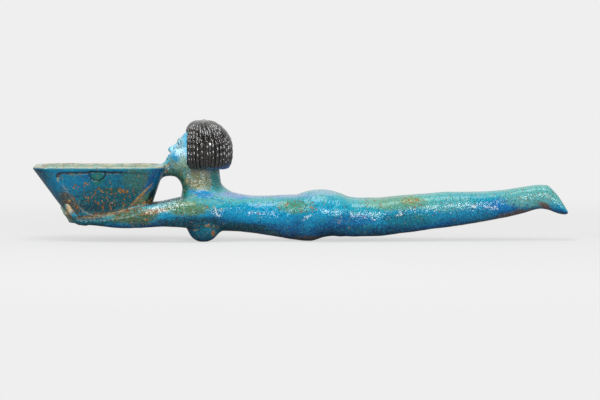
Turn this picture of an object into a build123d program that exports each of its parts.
from build123d import *
import os
from math import asin, copysign, cos, pi, radians, sin

# An Egyptian cosmetic spoon in glazed faience: a swimmer lies stretched out face down and
# holds a deep dish out in front, with the chin on its rim. The dish, the head, the wig, the
# trunk and each limb are shaped by themselves, set on each other with a film of wet slurry
# and then fired, so each piece is cut to the form that it is pressed against.
# The swimmer lies along X with the dish at -X. Z is up, and the left side is at -Y.
# The origin is on the table, under the middle of the whole length.
# Each round form is a skin of flat facets over sections, with smooth rails from end to end.

# Seats
slurry = 0.06  # film between two pieces

# Facets: round a form, and steps along it
trunk_facets = 11  # from the spine round one side to the belly
trunk_steps = 26
leg_facets = 11
leg_steps = 20
foot_steps = 8
arm_facets = 16
arm_steps = 20
skull_facets = 24
skull_steps = 14
neck_steps = 6
feature_facets = 10
bridge_facets = 12
bridge_steps = 7
breast_facets = 16
breast_steps = 9
palm_facets = 10
finger_facets = 8
corner_facets = 5  # round one corner of the dish
flatness = 0.000001  # how far a corner may lie off a facet's plane

# Dish
dish_length = 55.0  # over the rim
dish_width = 31.0
dish_height = 22.5  # base to rim
dish_wall = 2.8
dish_floor = 3.2
rim_corner = 8.0
lip_height = 1.2  # upright band round the rim
lip_edge = 0.4  # bevel on the lip
base_length = 32.0
base_width = 20.0
base_corner = 6.0
base_setback = 4.0  # the base's middle lies behind the rim's middle
base_edge = 0.9  # bevel under the base
floor_edge = 1.4  # bevel inside, round the floor
dish_lift = 9.4  # base above the table
rim_band = 2.4  # smooth band above the sunk panel
panel_depth = 0.5
panel_front = 8.0  # panel's end from the dish's front
panel_back = 5.0
panel_foot = 2.0  # panel's lower edge above the base
panel_corner = 2.6
lug_radius = 3.2
lug_relief = 0.35

# Lengths along the swimmer
throat_gap = 6.0  # dish's back rim to the throat
torso_length = 68.5
leg_length = 84.0
foot_length = 11.5

# Trunk: widths, and heights of the under side and the back above the table
chest_width = 27.6
chest_under = 4.6
chest_back = 20.2
waist_width = 18.4
waist_under = 3.3
waist_back = 19.1
seat_rise = 0.7  # how far the back has risen over the waist where the seat begins
belly_width = 24.4
hip_width = 25.8
hip_under = 2.3
hip_back = 21.2
fold_width = 25.1
fold_back = 18.8
belly_rest = 0.22  # worn off the lowest point of the belly
breast_radius = 6.6
breast_depth = 6.2
breast_spread = 13.2  # between the middles
breast_setback = 10.6  # behind the throat
breast_lowest = -78.0  # degrees round the ball, from level, at its lowest section
breast_highest = 60.0  # the same at its highest, inside the chest
breast_rest = 0.22  # worn off each breast
leg_lobe = 0.43  # how far the legs' middles stand apart, as a share of the half width

# Legs and feet
thigh_width = 23.6
thigh_under = 2.2
thigh_back = 17.9
knee_width = 17.4
knee_under = 6.0
knee_back = 20.4
calf_width = 16.8
ankle_width = 11.6
ankle_under = 13.6
ankle_back = 23.4
toe_width = 13.0
toe_lift = 11.3
toe_thickness = 1.7

# Arms
shoulder_width = 10.0
shoulder_height = 12.7
shoulder_reach = 16.0  # how far the arm runs on behind the throat, inside the trunk
elbow_width = 8.4
elbow_height = 9.8
wrist_width = 6.0
wrist_height = 3.0
arm_under = 5.9
arm_spread = 24.0  # between the arms' middles at the shoulders
wrist_spread = 16.8

# Hands
palm_length = 6.4
palm_width = 7.6
palm_height = 2.8
palm_sink = 0.7  # wrist's and palm's middle below the dish's base
knuckle_height = 1.8
knuckle_setback = 0.4  # palm's end in front of the base's edge
hand_spread = 10.0  # between the hands' middles at the knuckles
finger_width = 1.6
finger_pitch = 1.72
finger_reach = 5.6  # up the dish's front
finger_step = 0.3  # how much shorter a finger is than its inner neighbours
finger_count = 4
first_finger = -1.9  # along the base's outline, from where its corner starts
thumb_width = 2.3
thumb_reach = 6.6
thumb_place = 6.2
grip_relief = 0.45  # middle of a finger outside the dish's wall

# Head
neck_width = 11.6
neck_length = 15.2  # throat to nape
neck_setback = 1.6  # front of the neck behind the throat
neck_sink = 3.7  # neck's foot below the back
neck_rise = 2.5  # neck's head above the dish's rim
face_length = 16.0  # hairline to chin
face_tilt = 34.0  # degrees that the face leans back from upright
head_width = 14.8
head_depth = 17.6
chin_gap = 0.5  # chin over the rim
nose_width = 3.4
nose_relief = 2.2
mouth_width = 4.8
mouth_height = 1.5  # of each lip
mouth_relief = 0.9
feature_root = 1.4  # how deep the nose and the lips are set in the face
bridge_width = 8.4
bridge_depth = 4.4

# Wig
wig_width = 20.8
wig_length = 20.8
wig_height = 20.4
wig_setback = 1.9  # front of the full round behind the throat
wig_square = 2.4  # 2 is an ellipse in plan, more is squarer
wig_front_trim = 1.3  # cut back from the full round, where the face comes out
hem_drop = 1.3  # hem below the dish's rim
lock_count = 34
lock_groove = 0.42

# Places that follow from the sizes
overall = dish_length + throat_gap + torso_length + leg_length + foot_length
dish_tip = -overall / 2
dish_middle = dish_tip + dish_length / 2
dish_back = dish_tip + dish_length
base_front = dish_middle + base_setback - base_length / 2
throat = dish_back + throat_gap
fold = throat + torso_length
ankle = fold + leg_length
rim_top = dish_lift + dish_height
flare_height = dish_height - lip_height
wrist = base_front + palm_length
palm_middle = dish_lift - palm_sink
chest_height = chest_back - chest_under


def between(a, b, share):
    """The value that lies a share of the way from a to b."""
    return a + (b - a) * share


# Sections: a section is a ring of corners, and a skin runs over a row of sections
def stand(low, high, corners):
    """Ring in the plane across the swimmer through two (x, z) points: (up, across) corners."""
    rise = Vector(high[0] - low[0], 0, high[1] - low[1]).normalized()
    middle = ((low[0] + high[0]) / 2, 0, (low[1] + high[1]) / 2)
    plane = Plane(origin=middle, x_dir=rise, z_dir=(-rise.Z, 0, rise.X))
    return [plane.from_local_coords(Vector(up, across, 0)) for up, across in corners]


def reach(low, high):
    """Distance between two (x, z) points."""
    return Vector(high[0] - low[0], high[1] - low[1]).length


def ellipse(half_up, half_across, facets):
    """Corners of an ellipse, from its top on."""
    turns = [2 * pi * i / facets for i in range(facets)]
    return [(half_up * cos(turn), half_across * sin(turn)) for turn in turns]


def oval(low, high, width, facets, y=0.0, grow=0.0):
    """Elliptical section from low to high, its middle at y."""
    corners = ellipse(reach(low, high) / 2 + grow, width / 2 + grow, facets)
    return stand(low, high, [(up, y + across) for up, across in corners])


def lobed_corners(height, width, lobe, gap, facets):
    """Half of a two-lobed outline, from the notch on top round the +Y side to the notch below."""
    centre = lobe * width / 2
    radius = width / 2 - centre
    start = asin((gap - centre) / radius)
    turns = [start + (pi - 2 * start) * i / facets for i in range(facets + 1)]
    return [(height / 2 * cos(turn), centre + radius * sin(turn)) for turn in turns]


def lobed(low, high, width, lobe, grow=0.0):
    """Section of the trunk: one closed outline that may dip between two lobes."""
    half = lobed_corners(reach(low, high) + 2 * grow, width + 2 * grow, lobe, 0.0, trunk_facets)
    return stand(low, high, half + [(up, -across) for up, across in half[-2:0:-1]])


def half_lobed(low, high, width):
    """Section of the right leg or foot, flat on the inner side where the two lie together."""
    corners = lobed_corners(reach(low, high), width, leg_lobe, slurry / 2, leg_facets)
    return stand(low, high, corners)


def run_through(sections, steps):
    """More sections, read in even steps off smooth rails through the corners of the given ones."""
    rails = [Spline(*corners) for corners in zip(*sections)]
    return [[rail @ (i / steps) for rail in rails] for i in range(steps + 1)]


def facet(a, b, c, d):
    """One flat face over four corners, or two triangles where they don't lie in one plane."""
    off_plane = abs((b - a).cross(c - a).normalized().dot(d - a))
    if off_plane < flatness:
        rings = [[a, b, c, d]]
    elif (c - a).length <= (d - b).length:
        rings = [[a, b, c], [a, c, d]]
    else:
        rings = [[a, b, d], [b, c, d]]
    return [Face(Wire.make_polygon(ring)) for ring in rings]


def skin(sections):
    """Solid with flat facets from section to section and a flat face at each end."""
    faces = [Face(Wire.make_polygon(sections[0])), Face(Wire.make_polygon(sections[-1]))]
    for near, far in zip(sections, sections[1:]):
        for i in range(len(near)):
            faces += facet(near[i - 1], near[i], far[i], far[i - 1])
    return Solid(Shell(faces))


def export(shape, name):
    """Writes one node."""
    solids = shape.solids()
    print(name, "solids", len(solids), "volume", round(sum(solid.volume for solid in solids), 1))
    export_step(solids[0] if len(solids) == 1 else Compound(solids), f"parts/{name}.step")


# Dish: raked ends, flaring sides, an upright lip and a sunk panel on each side
def dish_outline(height, grow=0.0, rise=0.0):
    """Ring of the dish's outline at a height above its base, moved up by the rise."""
    share = height / flare_height
    corner = between(base_corner, rim_corner, share) + grow
    flat_length = between(base_length, dish_length, share) / 2 + grow - corner
    flat_width = between(base_width, dish_width, share) / 2 + grow - corner
    middle = dish_middle + between(base_setback, 0, share)
    ring = []
    for quarter, (x_side, y_side) in enumerate(((1, 1), (-1, 1), (-1, -1), (1, -1))):
        for i in range(corner_facets + 1):
            turn = pi / 2 * (quarter + i / corner_facets)
            x = middle + x_side * flat_length + corner * cos(turn)
            y = y_side * flat_width + corner * sin(turn)
            ring.append(Vector(x, y, dish_lift + height + rise))
    return ring


def dish_end(height, end):
    """x of the dish's front (end -1) or back (end 1) at a height above its base."""
    share = height / flare_height
    half = between(base_length, dish_length, share) / 2
    return dish_middle + between(base_setback, 0, share) + end * half


def dish_form(grow=0.0):
    """Outside of the dish without its hollow."""
    below = dish_outline(0.0, grow, -max(grow, 0))
    top = dish_outline(flare_height, grow, lip_height + max(grow, 0))
    return skin([below, dish_outline(flare_height, grow), top])


def dish_hollow():
    """Inside of the dish, with a bevel round its floor."""
    bevel = dish_floor + floor_edge
    return skin(
        [
            dish_outline(dish_floor, -dish_wall - floor_edge),
            dish_outline(bevel, -dish_wall),
            dish_outline(flare_height, -dish_wall),
            dish_outline(flare_height, -dish_wall, lip_height),
        ]
    )


def side_panels():
    """What is cut from the dish's sides: a prism outside a core that stands in by the depth."""
    top = dish_height - rim_band
    corners = [
        (dish_end(top, -1) + panel_front, dish_lift + top),
        (dish_end(top, 1) - panel_back, dish_lift + top),
        (dish_end(panel_foot, 1) - panel_back, dish_lift + panel_foot),
        (dish_end(panel_foot, -1) + panel_front, dish_lift + panel_foot),
    ]
    outline = make_face(Polyline(*corners, close=True))
    outline = fillet(outline.vertices(), panel_corner)
    prism = extrude(Plane.XZ * outline, dish_width, both=True)
    return prism - dish_form(-panel_depth)


def dish():
    body = dish_form()
    body = chamfer(body.faces().sort_by(Axis.Z)[0].edges(), base_edge)
    body -= dish_hollow()
    body = chamfer(body.faces().sort_by(Axis.Z)[-1].edges(), lip_edge)
    return body - side_panels()


def dish_lug():
    """Half-round lug that hangs from the rim band at the middle of the right side."""
    edge = rim_top - rim_band - slurry
    disc = extrude(Plane.XZ * Circle(lug_radius), dish_width, both=True)
    below = Pos(0, dish_width / 2, -lug_radius) * Box(4 * lug_radius, dish_width, 2 * lug_radius)
    relief = dish_form(lug_relief) & Pos(dish_middle, 0, edge) * (disc & below)
    return relief - dish_form(slurry - panel_depth)


# Trunk
def torso_form(grow=0.0):
    """From the throat to the fold under the seat."""
    stations = [  # share of the length, width, under side, back, lobe
        (0.0, chest_width * 0.42, chest_under + chest_height * 0.27, chest_back - chest_height * 0.27, 0.0),
        (0.035, chest_width * 0.74, chest_under + chest_height * 0.1, chest_back - chest_height * 0.11, 0.0),
        (0.12, chest_width, chest_under, chest_back - chest_height * 0.01, 0.0),
        (0.23, chest_width * 0.96, chest_under * 0.93, chest_back + chest_height * 0.02, 0.06),
        (0.34, between(chest_width, waist_width, 0.58), chest_under * 0.89, chest_back, 0.1),
        (0.46, waist_width, waist_under, waist_back, 0.1),
        (0.59, waist_width * 1.01, waist_under * 0.58, between(waist_back, hip_back, 0.14), 0.06),
        (0.71, between(waist_width, belly_width, 0.5), waist_under * 0.15, waist_back + seat_rise, 0.02),
        (0.81, belly_width, -belly_rest, between(waist_back, hip_back, 0.72), 0.04),
        (0.90, hip_width, hip_under, hip_back, 0.2),
        (0.955, hip_width, hip_under, between(hip_back, fold_back, 0.42), 0.33),
        (1.0, fold_width, thigh_under, fold_back, leg_lobe),
    ]
    sections = []
    for share, width, under, back, lobe in stations:
        x = between(throat - grow, fold + grow, share)
        sections.append(lobed((x, under), (x, back), width, lobe, grow))
    return skin(run_through(sections, trunk_steps))


def table_cut(shape):
    """Takes off what would lie under the table."""
    return shape - Pos(0, 0, -overall / 2) * Box(2 * overall, overall, overall)


def breast_form():
    x = throat + breast_setback
    sections = []
    for i in range(breast_steps + 1):
        slope = radians(between(breast_lowest, breast_highest, i / breast_steps))
        z = breast_depth * (1 + sin(slope)) - breast_rest
        ring = ellipse(breast_radius * cos(slope), breast_radius * cos(slope), breast_facets)
        sections.append([Vector(x + along, breast_spread / 2 + across, z) for along, across in ring])
    return skin(sections)


def breast():
    return table_cut(breast_form()) - torso_form(slurry) - arm_form(slurry)


# Legs and feet
def leg():
    """The right leg and its foot, from the fold to the toes, flat against its neighbour."""
    fold_end = (fold_width, thigh_under, fold_back)
    thigh = (thigh_width, thigh_under, thigh_back)
    knee = (knee_width, knee_under, knee_back)
    calf = (calf_width, between(knee_under, ankle_under, 0.24), between(knee_back, ankle_back, 0.03))
    ankle_end = (ankle_width, ankle_under, ankle_back)
    stations = [  # share of the length; from one form to the next: share of width, under side, back
        (0.0, fold_end, thigh, (0.0, 0.0, 0.0)),
        (0.07, fold_end, thigh, (0.65, 0.5, 0.9)),
        (0.17, thigh, knee, (0.0, 0.0, 0.0)),
        (0.30, thigh, knee, (0.45, 0.33, 0.4)),
        (0.43, thigh, knee, (0.85, 0.68, 0.76)),
        (0.54, knee, calf, (0.0, 0.0, 0.0)),
        (0.68, calf, ankle_end, (0.0, 0.0, 0.0)),
        (0.80, calf, ankle_end, (0.35, 0.3, 0.21)),
        (0.91, calf, ankle_end, (0.85, 0.67, 0.66)),
        (1.0, calf, ankle_end, (1.0, 1.0, 1.0)),
    ]
    sections = []
    for along, near, far, shares in stations:
        x = between(fold + slurry, ankle, along)
        width, under, back = [between(*values) for values in zip(near, far, shares)]
        sections.append(half_lobed((x, under), (x, back), width))
    return skin(run_through(sections, leg_steps) + run_through(foot_sections(), foot_steps)[1:])


def foot_sections():
    """The right foot, pointed: the sole slants down from the heel, the instep lies below."""
    tip = toe_lift + toe_thickness
    middle_width = between(ankle_width, toe_width, 0.5)
    stations = [  # low edge: share of the length and of the drop; high edge: the same; width
        (0.0, 0.0, 0.0, 0.0, ankle_width),
        (0.17, 0.04, 0.24, 0.0, ankle_width * 1.02),
        (0.33, 0.35, 0.53, 0.26, middle_width),
        (0.53, 0.72, 0.73, 0.54, toe_width),
        (0.75, 0.95, 0.90, 0.80, toe_width),
        (0.92, 1.0, 1.0, 1.0, toe_width * 0.86),
    ]
    sections = []
    for low_share, low_drop, high_share, high_drop, width in stations:
        low_x = between(ankle, ankle + foot_length, low_share)
        high_x = between(ankle, ankle + foot_length, high_share)
        low = (low_x, between(ankle_under, toe_lift, low_drop))
        high = (high_x, between(ankle_back, tip, high_drop))
        sections.append(half_lobed(low, high, width))
    return sections


# Arms and hands
def arm_form(grow=0.0):
    """The right arm: from inside the shoulder, forward and down beside the dish, to the wrist."""
    shoulder_top = arm_under + shoulder_height
    elbow_top = arm_under + elbow_height
    wrist_low = palm_middle - wrist_height / 2
    wrist_high = palm_middle + wrist_height / 2
    shoulder = [  # share of the reach behind the throat, width, low, high, spread
        (1.0, 0.62, 0.24, 0.75, 0.8),
        (0.72, 0.9, 0.06, 0.945, 0.91),
        (0.375, 1.0, 0.0, 1.0, 1.0),
        (-0.03, 0.93, 0.04, 0.93, 0.98),
    ]
    forearm = [  # share of the way to the wrist, width, low, high, inward
        (0.02, 0.0, 0.45, -0.15, 0.28),
        (0.26, 0.12, 0.15, 0.05, 0.4),
        (0.5, 0.4, 0.0, 0.45, 0.58),
        (0.74, 0.75, 0.42, 0.86, 0.8),
        (0.9, 0.97, 0.85, 0.98, 0.95),
        (1.0, 1.0, 1.0, 1.0, 1.0),
    ]
    sections = []
    for back, width, low, high, spread in shoulder:
        x = throat + back * shoulder_reach
        under = (x, between(arm_under, shoulder_top, low))
        top = (x, between(arm_under, shoulder_top, high))
        middle = spread * arm_spread / 2
        sections.append(oval(under, top, width * shoulder_width, arm_facets, middle, grow))
    for along, width, low, high, inward in forearm:
        x = between(dish_back, wrist, along)
        under = (x, between(arm_under, wrist_low, low))
        top = (x, between(elbow_top, wrist_high, high))
        middle = between(arm_spread, wrist_spread, inward) / 2
        sections.append(oval(under, top, between(elbow_width, wrist_width, width), arm_facets, middle, grow))
    return skin(run_through(sections, arm_steps))


def arm():
    return arm_form() - torso_form(slurry) - dish_form(slurry)


def grip_point(run, height, off):
    """Point beside the dish's front corner. run follows the base's outline from where the corner
    starts, and the same run at another height lies on the same straight line up the wall."""
    share = height / flare_height
    corner = between(base_corner, rim_corner, share)
    flat = between(base_width, dish_width, share) / 2 - corner
    turn = max(run, 0) / base_corner
    x = dish_end(height, -1) + corner - (corner + off) * cos(turn)
    y = flat + min(run, 0) + (corner + off) * sin(turn)
    return Vector(x, y, dish_lift + height)


def digit(run, width, length):
    """Finger or thumb: along under the base, round its edge and up the wall."""
    radius = width / 2
    root = grip_point(run, -radius * 0.5, -palm_length * 0.35)
    edge = grip_point(run, -radius * 0.5, radius * 0.4)
    tip = grip_point(run, length, grip_relief)
    under = (edge - root).normalized()
    up = (tip - edge).normalized()
    across = under.cross(up)
    stations = [
        (root, under, 0.8),
        (edge, under + up, 1.04),
        (tip - up * radius, up, 0.96),
        (tip, up, 0.5),
    ]
    sections = []
    for middle, way, share in stations:
        plane = Plane(middle, x_dir=across, z_dir=way)
        ring = ellipse(radius * share, radius * share, finger_facets)
        sections.append([plane.from_local_coords(Vector(*corner, 0)) for corner in ring])
    return skin(sections)


def hand():
    """Palm under the dish's front edge, the fingers turned up its front, the thumb up its side."""
    start = wrist - slurry
    middle_spread = between(wrist_spread, hand_spread, 0.6)
    stations = [
        (start, wrist_width, wrist_height, wrist_spread),
        (between(start, base_front, 0.5), palm_width, palm_height, middle_spread),
        (base_front - knuckle_setback, palm_width * 0.9, knuckle_height, hand_spread),
    ]
    sections = []
    for x, width, height, spread in stations:
        low = (x, palm_middle - height / 2)
        high = (x, palm_middle + height / 2)
        sections.append(oval(low, high, width, palm_facets, spread / 2))
    palm = skin(sections)
    for i in range(finger_count):
        shorter = finger_step * (i - (finger_count - 1) / 2) ** 2
        palm += digit(first_finger + i * finger_pitch, finger_width, finger_reach - shorter)
    palm += digit(thumb_place, thumb_width, thumb_reach)
    return palm - dish_form(slurry)


# Head
def head_point(down, forward):
    """Point of the mid-plane, measured down the face from the hairline and forward from it."""
    lean = radians(face_tilt)
    chin = (dish_back, rim_top + chin_gap)
    hairline = (chin[0] + face_length * sin(lean), chin[1] + face_length * cos(lean))
    x = hairline[0] - down * sin(lean) - forward * cos(lean)
    return (x, hairline[1] - down * cos(lean) + forward * sin(lean))


def skull(grow=0.0):
    """Crown to chin. Each section runs from the back of the head to the front of the face."""
    stations = [  # share down the face, rear, front, width
        (-0.34, -0.78, -0.36, 0.42),
        (-0.22, -0.93, -0.14, 0.78),
        (-0.04, -1.0, 0.0, 0.96),
        (0.18, -1.0, 0.03, 1.0),
        (0.42, -0.93, 0.02, 0.98),
        (0.64, -0.76, 0.01, 0.88),
        (0.84, -0.52, 0.0, 0.70),
        (0.97, -0.36, -0.03, 0.46),
        (1.04, -0.26, -0.09, 0.26),
    ]
    sections = []
    for down, rear, front, width in stations:
        rear_point = head_point(down * face_length, rear * head_depth)
        front_point = head_point(down * face_length, front * head_depth)
        sections.append(oval(rear_point, front_point, width * head_width, skull_facets, 0.0, grow))
    return skin(run_through(sections, skull_steps))


def neck(grow=0.0):
    """Flares below into the shoulders and the nape."""
    front = throat + neck_setback
    nape = front + neck_length
    stations = [  # share of the height, front, nape, width
        (0.0, -0.03, 0.72, 1.62),
        (0.2, -0.01, 0.43, 1.38),
        (0.45, 0.0, 0.07, 1.1),
        (0.72, 0.01, -0.03, 1.0),
        (1.0, 0.04, -0.04, 1.04),
    ]
    sections = []
    for share, ahead, behind, width in stations:
        z = between(chest_back - neck_sink, rim_top + neck_rise, share)
        front_point = (front + ahead * neck_length, z)
        nape_point = (nape + behind * neck_length, z)
        sections.append(oval(front_point, nape_point, width * neck_width, skull_facets, 0.0, grow))
    return skin(run_through(sections, neck_steps))


def nose():
    """Straight bridge that widens to the tip, a third of the face long."""
    stations = [  # share down the face, relief, width
        (0.30, 0.16, 0.45),
        (0.46, 0.6, 0.62),
        (0.62, 1.0, 1.0),
        (0.676, 0.5, 0.85),
    ]
    sections = []
    for down, relief, width in stations:
        rear_point = head_point(down * face_length, -feature_root)
        front_point = head_point(down * face_length, relief * nose_relief)
        sections.append(oval(rear_point, front_point, width * nose_width, feature_facets))
    return skin(sections)


def lips():
    """Two low rolls, the lower one a little shorter."""
    rolls = []
    for share, relief, width in ((0.735, 1.0, 1.0), (0.81, 0.78, 0.84)):
        sections = []
        for forward, size in ((-feature_root, 1.15), (relief * mouth_relief, 0.6)):
            low = head_point(share * face_length + size * mouth_height / 2, forward)
            high = head_point(share * face_length - size * mouth_height / 2, forward)
            sections.append(oval(low, high, size * width * mouth_width, feature_facets))
        rolls.append(skin(sections))
    return rolls[0] + rolls[1]


def head_form(grow=0.0):
    return skull(grow) + neck(grow)


def head():
    body = head_form() + nose() + lips()
    right_arm = arm_form(slurry)
    return body - torso_form(slurry) - dish_form(slurry) - right_arm - mirror(right_arm, about=Plane.XZ)


def chin_bridge():
    """Web of paste that ties the throat to the dish's back rim, arched underneath."""
    under = rim_top - bridge_depth
    stations = [  # x; low and high edge, whose shares of the depth carry the arch; width
        (dish_back - throat_gap * 0.75, under - bridge_depth * 0.77, rim_top - bridge_depth * 0.32, 1.15),
        (dish_back - throat_gap * 0.1, under - bridge_depth * 0.14, rim_top - bridge_depth * 0.05, 0.97),
        (throat - throat_gap * 0.4, under, rim_top + bridge_depth * 0.16, 0.93),
        (throat + throat_gap * 0.17, under - bridge_depth * 0.6, rim_top + bridge_depth * 0.09, 1.08),
        (throat + throat_gap * 0.6, under - bridge_depth * 1.45, rim_top - bridge_depth * 0.36, 1.1),
    ]
    sections = []
    for x, low, high, width in stations:
        sections.append(oval((x, low), (x, high), width * bridge_width, bridge_facets))
    return skin(run_through(sections, bridge_steps)) - dish_form(slurry) - head_form(slurry)


# Wig: a round bob of hanging locks, cut back in front where the face comes out
def wig_ring(z, middle, size):
    """Outline with one ridge to each lock, drawn in at the grooves. All rings have one form."""
    power = 2 / wig_square
    ring = []
    for i in range(2 * lock_count):
        turn = pi * i / lock_count
        inset = lock_groove * (i % 2)
        along = copysign(abs(cos(turn)) ** power, cos(turn))
        across = copysign(abs(sin(turn)) ** power, sin(turn))
        x = middle + size * (wig_length / 2 - inset) * along
        ring.append(Vector(x, size * (wig_width / 2 - inset) * across, z))
    return ring


def wig():
    front = throat + wig_setback
    hem = rim_top - hem_drop
    stations = [  # share of the height, size, middle as a share of the length behind the front
        (0.0, 0.81, 0.483),
        (0.10, 0.94, 0.498),
        (0.30, 1.0, 0.502),
        (0.50, 1.0, 0.498),
        (0.66, 0.94, 0.481),
        (0.80, 0.82, 0.452),
        (0.90, 0.66, 0.423),
        (0.965, 0.47, 0.404),
        (1.0, 0.22, 0.41),
    ]
    rings = []
    for share, size, middle in stations:
        rings.append(wig_ring(hem + share * wig_height, front + middle * wig_length, size))
    face_side = Pos(front + wig_front_trim - overall / 2, 0, 0) * Box(overall, overall, overall)
    return skin(rings) - face_side - head_form(slurry)


os.makedirs("parts", exist_ok=True)
export(dish(), "dish")
export(table_cut(torso_form()), "torso")
export(head(), "head")
export(wig(), "wig")
export(chin_bridge(), "chin_bridge")
right_pieces = {"arm": arm(), "hand": hand(), "breast": breast(), "leg": leg(), "dish_lug": dish_lug()}
for name, piece in right_pieces.items():
    export(piece, f"right_{name}")
    export(mirror(piece, about=Plane.XZ), f"left_{name}")
